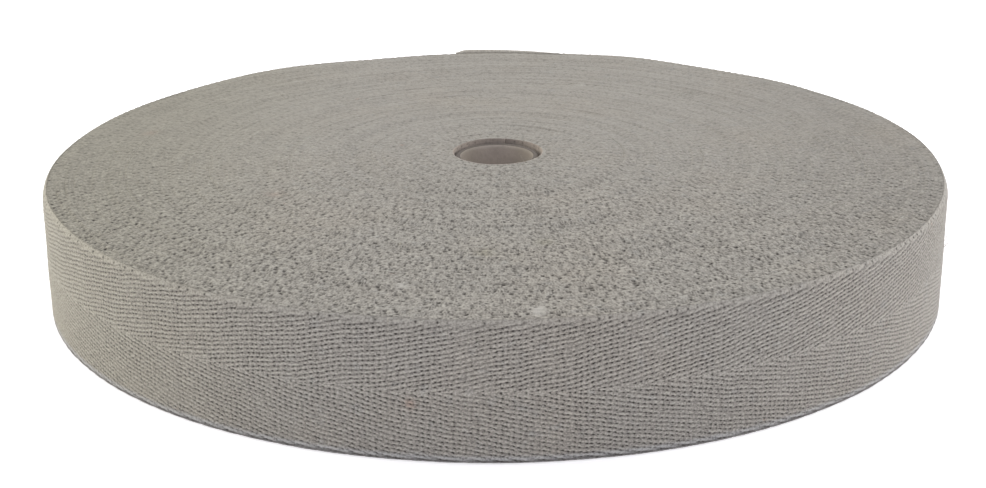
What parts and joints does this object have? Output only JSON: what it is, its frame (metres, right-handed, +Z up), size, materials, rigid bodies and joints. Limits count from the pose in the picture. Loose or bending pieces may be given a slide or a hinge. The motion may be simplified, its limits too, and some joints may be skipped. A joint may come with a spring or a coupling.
{
  "type": "roll of linen webbing",
  "caption": "Flat round roll of undyed herringbone linen webbing wound on a small cardboard tube, lying on its side with its loose end at the back.",
  "frame": {"origin": "on the surface that the roll lies on, under the middle of its outline seen from above", "axes": "+Z up, along the tube; the loose end is at +Y with its cut edge towards -X, and -Y is the front"},
  "size_m": [0.277, 0.2784, 0.0396],
  "materials": {
    "linen": "undyed grey-beige linen, heavy 2/2 herringbone weave, matt",
    "core_board": "plain brown-grey wound board, matt"
  },
  "bodies": {
    "root": {"webbing_roll": "linen", "webbing_end": "linen", "core": "core_board"}
  },
  "joints": []
}
